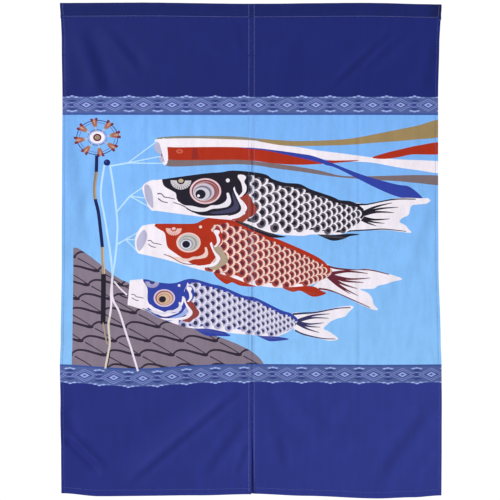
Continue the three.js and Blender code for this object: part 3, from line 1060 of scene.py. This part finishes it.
def cloth_shell(name, verts, tris, colours, side, made):
    """The part of the sheet in those triangles, as a thin closed shell."""
    used, flat = np.unique(tris, return_inverse=True)
    tris = flat.reshape(-1, 3)
    u, v = verts[used, 0], verts[used, 1]
    normal = outward(u, v, side)
    centre = place(u, v, side)
    front = centre + normal * CLOTH / 2
    back = centre - normal * CLOTH / 2
    front, back = on_own_side(front, side), on_own_side(back, side)
    n = len(used)
    a, b, c = front[tris[:, 0]], front[tris[:, 1]], front[tris[:, 2]]
    facing = np.einsum("ij,ij->i", np.cross(b - a, c - a), normal[tris[:, 0]])
    tris = np.where((facing < 0)[:, None], tris[:, ::-1], tris)
    # Edges used by one triangle only are the rim
    edge = np.concatenate([tris[:, [0, 1]], tris[:, [1, 2]], tris[:, [2, 0]]])
    owner = np.tile(np.arange(len(tris)), 3)
    key = edge.min(1) * n + edge.max(1)
    order = np.argsort(key, kind="stable")
    sorted_key = key[order]
    alone = np.ones(len(key), bool)
    same = sorted_key[1:] == sorted_key[:-1]
    alone[1:] &= ~same
    alone[:-1] &= ~same
    rim = order[alone]
    faces = tris.tolist() + (tris[:, ::-1] + n).tolist()
    rim_faces = [[int(edge[i, 1]), int(edge[i, 0]), int(edge[i, 0]) + n, int(edge[i, 1]) + n] for i in rim]
    shades = np.concatenate([colours, show_through(colours), colours[owner[rim]]])
    uvs = np.concatenate([np.stack([u, v], 1)] * 2)
    normals = np.concatenate([normal, -normal])
    return new_piece(name, np.concatenate([front, back]), faces + rim_faces, made, shades, uvs, normals)


def strip_mesh(name, us, vs, outs, side, made, flip):
    """A closed strip swept along the cloth. Rows of us, vs and outs are its cross-sections."""
    rows, cols = us.shape
    points = place(us, vs, side)
    points = on_own_side(points + outward(us, vs, side) * outs[..., None], side)
    index = np.arange(rows * cols).reshape(rows, cols)
    ahead = np.roll(index, -1, axis=1)
    quads = np.stack([index[:-1], ahead[:-1], ahead[1:], index[1:]], -1).reshape(-1, 4)
    if flip:
        quads = quads[:, ::-1]
    caps = [index[0][::-1].tolist(), index[-1].tolist()]
    if flip:
        caps = [c[::-1] for c in caps]
    faces = quads.tolist() + caps
    flat_u, flat_v = us.ravel(), vs.ravel()
    middles = np.array([flat_v[f].mean() for f in faces])
    middles_u = np.array([flat_u[f].mean() for f in faces])
    colours = edge_colour(middles_u, middles)
    uvs = np.stack([flat_u + outs.ravel() * 4, flat_v], 1)
    return new_piece(name, points.reshape(-1, 3), faces, made, colours, uvs)


def edge_colour(u, v):
    """The print on the folded edges, where only the plain areas and the borders run out."""
    # The ground colour brings its painted lighting gradient and the sleeve's painted shade onto the folded
    # edges
    colour = ground_colour(np.clip(u, -HALF_WIDTH, HALF_WIDTH), v)
    for start in (UPPER_BORDER, LOW_BORDER - 1):
        on = (v > start) & (v < start + BORDER_DEPTH + 2)
        colour = np.where(on[:, None], BORDER, colour)
    return colour


# The folded edge behind the cloth: distance in from the edge, and height behind the cloth's middle
HEM_SECTION = np.array([(0.15, 0.28), (-0.12, 0.5), (-0.2, 0.78), (-0.05, 1.06), (0.4, 1.24),
                        (1.4, 1.3), (3.6, 1.26), (6.0, 1.02), (7.0, 1.2), (7.7, 1.14), (8.0, 0.9),
                        (7.9, 0.45), (7.0, 0.3), (3.5, 0.28)])


def side_hem(name, low, high, edge, towards, side, made):
    along = spread(low, min(high, HEIGHT - 0.5), 3.0)
    us = edge - towards * HEM_SECTION[:, 0][None, :].repeat(len(along), 0)
    vs = along[:, None].repeat(len(HEM_SECTION), 1)
    outs = -HEM_SECTION[:, 1][None, :].repeat(len(along), 0)
    return strip_mesh(name, us, vs, outs, side, made, towards > 0)


def bottom_hem(name, side, made):
    ends = sorted((side * 0.3, side * (HALF_WIDTH - 0.3)))
    along = spread(*ends, 3.0)
    section = HEM_SECTION * (BOTTOM_HEM / SIDE_HEM, 1.0)
    us = along[:, None].repeat(len(section), 1)
    vs = HEIGHT - section[:, 0][None, :].repeat(len(along), 0)
    outs = -(section[:, 1] + 0.1)[None, :].repeat(len(along), 0)
    return strip_mesh(name, us, vs, outs, side, made, False)


def stitches(name, starts, ends, side, made, faces_out=(1, -1), lift=0.34, depth_behind=1.5, thick=0.3):
    """Separate stitches, each from its start to its end on the cloth, dipping in at both ends."""
    starts, ends = np.array(starts, float), np.array(ends, float)
    share = np.array([0.0, 0.14, 0.5, 0.86, 1.0])
    rise = np.array([-0.25, 0.12, 0.2, 0.12, -0.25])
    swell = np.array([0.35, 1.0, 1.05, 1.0, 0.35])
    rings, sides = len(share), 6
    turn = 2 * math.pi * np.arange(sides) / sides
    uv = starts[:, None] + (ends - starts)[:, None] * share[None, :, None]
    middle = place(uv[..., 0], uv[..., 1], side)
    normal = outward(uv[..., 0], uv[..., 1], side)
    ahead = middle[:, -1] - middle[:, 0]
    ahead /= np.linalg.norm(ahead, axis=1, keepdims=True)
    verts, faces = [], []
    for face in faces_out:
        n = normal * face
        b = np.cross(n, ahead[:, None])
        height = (lift if face > 0 else depth_behind) + rise * thick
        axis = middle + n * height[None, :, None]
        round_it = (n[:, :, None] * np.sin(turn)[:, None] * 0.8 + b[:, :, None] * np.cos(turn)[:, None])
        ring = axis[:, :, None] + round_it * thick * swell[None, :, None, None]
        index = np.arange(ring.size // 3).reshape(len(starts), rings, sides) + sum(len(v) for v in verts)
        verts.append(ring.reshape(-1, 3))
        near, far = index[:, :-1], index[:, 1:]
        quads = np.stack([near, np.roll(near, -1, 2), np.roll(far, -1, 2), far], -1).reshape(-1, 4)
        faces += quads.tolist() + index[:, 0, ::-1].tolist() + index[:, -1].tolist()
    return new_piece(name, np.concatenate(verts), faces, made)


STITCH_LENGTH = 2.7
STITCH_PITCH = 3.3
# How far before an edge a line of stitching ends, and how far up the sleeve its side hems' runs
SLEEVE_SEAM_END = 4.0
HEM_SEAM_END = 3.0
SLEEVE_SIDE_SEAM_TOP = -8.0


def stitch_run(fixed, low, high, vertical):
    """Where the stitches of one straight seam start and end. fixed is its place across or down."""
    places = np.arange(low + 0.4, high - STITCH_LENGTH, STITCH_PITCH)
    if vertical:
        return [(fixed, p) for p in places], [(fixed, p + STITCH_LENGTH) for p in places]
    return [(p, fixed) for p in places], [(p + STITCH_LENGTH, fixed) for p in places]


def turn_with(piece, zone, side_name):
    """Bakes a piece's placement into its mesh. The turn from the body above to the body below is looked up
    but not applied.
    """
    above, below, start, end = TURNS[zone]
    above, below = above.format(side=side_name), below.format(side=side_name)
    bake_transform(piece)


def sleeve_seams(side_name, side, thread):
    """The line of stitching under the sleeve, and its side hems' stitching, which runs on up it."""
    ends = sorted((side * SLEEVE_SEAM_END, side * (HALF_WIDTH - SLEEVE_SEAM_END)))
    starts, finishes = stitch_run(STITCH, *ends, vertical=False)
    for edge in (side * (HALF_WIDTH - SIDE_SEAM), side * SIDE_SEAM):
        more = stitch_run(edge, SLEEVE_SIDE_SEAM_TOP, STITCH - 1, vertical=True)
        starts, finishes = starts + more[0], finishes + more[1]
    sewn = stitches(f"{side_name}_sleeve_stitches", starts, finishes, side, thread, depth_behind=0.9)
    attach(sewn, "rod_sleeves")
    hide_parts(f"{side_name}_sleeve_stitching")
    return [sewn]


def side_edges(side_name, side, zone, low, high, printed, threads):
    """The folded outer and centre edges of a zone, and their stitching."""
    pieces = []
    start = SLEEVE_END + 0.5 if zone == "header" else low
    for label, edge, towards in (("outer", side * HALF_WIDTH, side), ("centre", 0.0, -side)):
        hem = side_hem(f"{side_name}_{zone}_{label}_fold", start, high, edge, towards, side, printed)
        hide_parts(f"{side_name}_{zone}_{label}_hem")
        run = stitch_run(edge - towards * SIDE_SEAM, start, min(high, HEIGHT - HEM_SEAM_END), vertical=True)
        sewn = stitches(f"{side_name}_{zone}_{label}_stitches", *run, side, threads[label])
        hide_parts(f"{side_name}_{zone}_{label}_stitching")
        pieces += [hem, sewn]
    return pieces


def bottom_edge(side_name, side, printed, thread):
    """The folded edge along a panel's foot, and its stitching."""
    hem = bottom_hem(f"{side_name}_bottom_fold", side, printed)
    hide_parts(f"{side_name}_bottom_hem")
    ends = sorted((side * HEM_SEAM_END, side * (HALF_WIDTH - HEM_SEAM_END)))
    run = stitch_run(HEIGHT - BOTTOM_SEAM, *ends, vertical=False)
    sewn = stitches(f"{side_name}_bottom_stitches", *run, side, thread)
    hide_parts(f"{side_name}_bottom_stitching")
    return [hem, sewn]


def build_panel(side_name, side, sheet, printed, threads):
    """One panel, zone by zone, with what is sewn to each."""
    verts, tris, middle, colours = sheet
    on_side = middle[:, 0] * side > 0
    for zone, (low, high) in CUTS.items():
        mine = on_side & (middle[:, 1] > low) & (middle[:, 1] < high)
        is_sleeve = zone == "rod_sleeve"
        node = f"{side_name}_{zone}" if is_sleeve else f"{side_name}_{zone}_cloth"
        piece = cloth_shell(f"{node}_fabric", verts, tris[mine], colours[mine], side, printed)
        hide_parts(node)
        if is_sleeve:
            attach(piece, "rod_sleeves")
            extras = sleeve_seams(side_name, side, threads["centre"])
        else:
            extras = side_edges(side_name, side, zone, low, high, printed, threads)
            if zone == "lower_flap":
                extras += bottom_edge(side_name, side, printed, threads["outer"])
            for bending in (piece, *extras):
                turn_with(bending, zone, side_name)


def build_join(thread):
    """Whip stitches that join the two centre edges behind the slit, and the bar tack that ends them."""
    for name, node, low, high, pitch in (
        ("centre_join_stitches", "centre_join_seam", SLEEVE_END + 2, JOINED - 12, 3.0),
        ("centre_bar_tack_stitches", "centre_bar_tack", JOINED - 11, JOINED - 1.5, 0.7),
    ):
        places = np.arange(low, high, pitch)
        starts, ends = [(-1.4, p) for p in places], [(1.4, p + 0.5 * pitch) for p in places]
        sewn = stitches(name, starts, ends, -1, thread, faces_out=(-1,), thick=0.25)
        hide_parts(node)
        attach(sewn, "header")


def build_curtain():
    draw_print()
    sheet = cut_sheet()
    printed = woven_print()
    threads = {
        # The sewing thread is lighter than the hem thread partly in its own colour and partly by painted
        # highlight on the raised stitching
        "centre": thread_material("sewing_thread", srgb(92, 100, 170), srgb(150, 160, 218)),
        "outer": thread_material("hem_thread", srgb(56, 66, 140), srgb(104, 116, 190)),
    }
    for side_name, side in SIDES.items():
        build_panel(side_name, side, sheet, printed, threads)
    build_join(threads["centre"])


# ---------------------------------------------------------------- camera, light and floor
def place_camera(centre):
    lens = bpy.data.cameras.new("camera")
    lens.lens = 85
    lens.sensor_width = 36
    camera = bpy.data.objects.new("camera", lens)
    bpy.context.scene.collection.objects.link(camera)
    distance, aside, lowered = 2.641, 0.0034, 0.0037
    camera.location = (centre.x - aside, -distance, centre.z - lowered)
    camera.rotation_euler = (math.radians(90), 0, 0)
    bpy.context.scene.camera = camera


def studio_air():
    """White all round: bright where the camera sees it, softer as a light."""
    world = bpy.data.worlds.new("studio")
    bpy.context.scene.world = world
    world.use_nodes = True
    tree = world.node_tree
    lit, seen = tree.nodes["Background"], tree.nodes.new("ShaderNodeBackground")
    for background, strength in ((lit, 0.42), (seen, 1.05)):
        background.inputs["Color"].default_value = (1, 1, 1, 1)
        background.inputs["Strength"].default_value = strength
    path = tree.nodes.new("ShaderNodeLightPath")
    mix = tree.nodes.new("ShaderNodeMixShader")
    link(tree, path.outputs["Is Camera Ray"], mix.inputs[0])
    link(tree, lit.outputs[0], mix.inputs[1])
    link(tree, seen.outputs[0], mix.inputs[2])
    link(tree, mix.outputs[0], tree.nodes["World Output"].inputs["Surface"])


def soft_light(name, where, aim, size, power):
    data = bpy.data.lights.new(name, "AREA")
    data.shape = "RECTANGLE"
    data.size, data.size_y = size
    data.energy = power
    lamp = bpy.data.objects.new(name, data)
    lamp.location = where
    lamp.rotation_euler = (aim - lamp.location).to_track_quat("-Z", "Y").to_euler()
    bpy.context.scene.collection.objects.link(lamp)


def lay_floor():
    reach, below = 4, 0.9
    z = cad_low.z - below
    corners = ((-reach, -reach), (reach, -reach), (reach, reach), (-reach, reach))
    verts = np.array([(x, y, z) for x, y in corners]) * 1000
    pale, _, shader = material("pale_floor")
    shader.inputs["Base Color"].default_value = (0.8, 0.8, 0.8, 1)
    shader.inputs["Roughness"].default_value = 0.8
    new_piece("floor", verts, [(0, 1, 2, 3)], pale)


def build_studio():
    centre = (cad_low + cad_high) / 2
    place_camera(centre)
    studio_air()
    soft_light("key", (-5.4, -4.3, 2.2), centre, (1.6, 2.6), 395)
    soft_light("fill", (4.6, -5.0, -3.4), centre, (2.2, 3.0), 215)
    soft_light("back", (4.4, 4.6, 1.2), centre, (2.4, 2.4), 150)
    lay_floor()
    bpy.context.scene.view_settings.view_transform = "Standard"


build_studio()
build_curtain()
